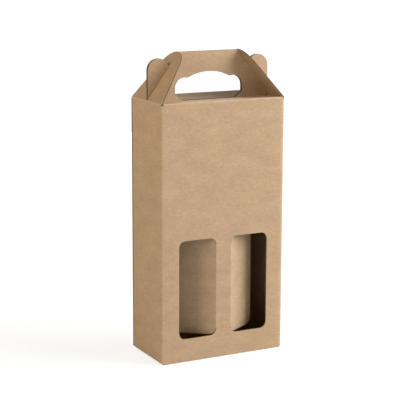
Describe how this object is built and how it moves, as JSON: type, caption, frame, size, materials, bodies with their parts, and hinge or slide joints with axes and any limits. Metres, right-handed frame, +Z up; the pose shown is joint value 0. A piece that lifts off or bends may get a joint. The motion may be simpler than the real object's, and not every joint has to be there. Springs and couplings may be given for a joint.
{
  "type": "two-bottle carrying box",
  "caption": "Folded kraft board carrying box for bottles side by side, with windowed front, slit end flaps and a double handle with a hand hole.",
  "frame": {"origin": "middle of the footprint, on the surface the box stands on", "axes": "+Z up, +X to the right of the windowed front, which faces -Y"},
  "size_m": [0.172, 0.088, 0.3882],
  "materials": {
    "kraft_board": "matte brown kraft paper on fine-flute corrugated board"
  },
  "bodies": {
    "carton": {"carton": "kraft_board"},
    "left_end_flap": {"left_end_flap": "kraft_board"},
    "right_end_flap": {"right_end_flap": "kraft_board"},
    "left_window_flap": {"left_window_flap": "kraft_board"},
    "right_window_flap": {"right_window_flap": "kraft_board"}
  },
  "joints": [
    {"name": "left_end_flap_fold", "type": "hinge", "parent": "carton", "child": "left_end_flap", "pos_m": [-0.08525, 0, 0.32925], "axis": [0, -1, 0], "range_deg": [0, 126]},
    {"name": "right_end_flap_fold", "type": "hinge", "parent": "carton", "child": "right_end_flap", "pos_m": [0.08525, 0, 0.32925], "axis": [0, 1, 0], "range_deg": [0, 126]},
    {"name": "left_window_flap_fold", "type": "hinge", "parent": "carton", "child": "left_window_flap", "pos_m": [-0.0103, -0.04325, 0.0939], "axis": [0, 0, -1], "range_deg": [-37, 61]},
    {"name": "right_window_flap_fold", "type": "hinge", "parent": "carton", "child": "right_window_flap", "pos_m": [0.0103, -0.04325, 0.0939], "axis": [0, 0, 1], "range_deg": [-32, 66]}
  ]
}
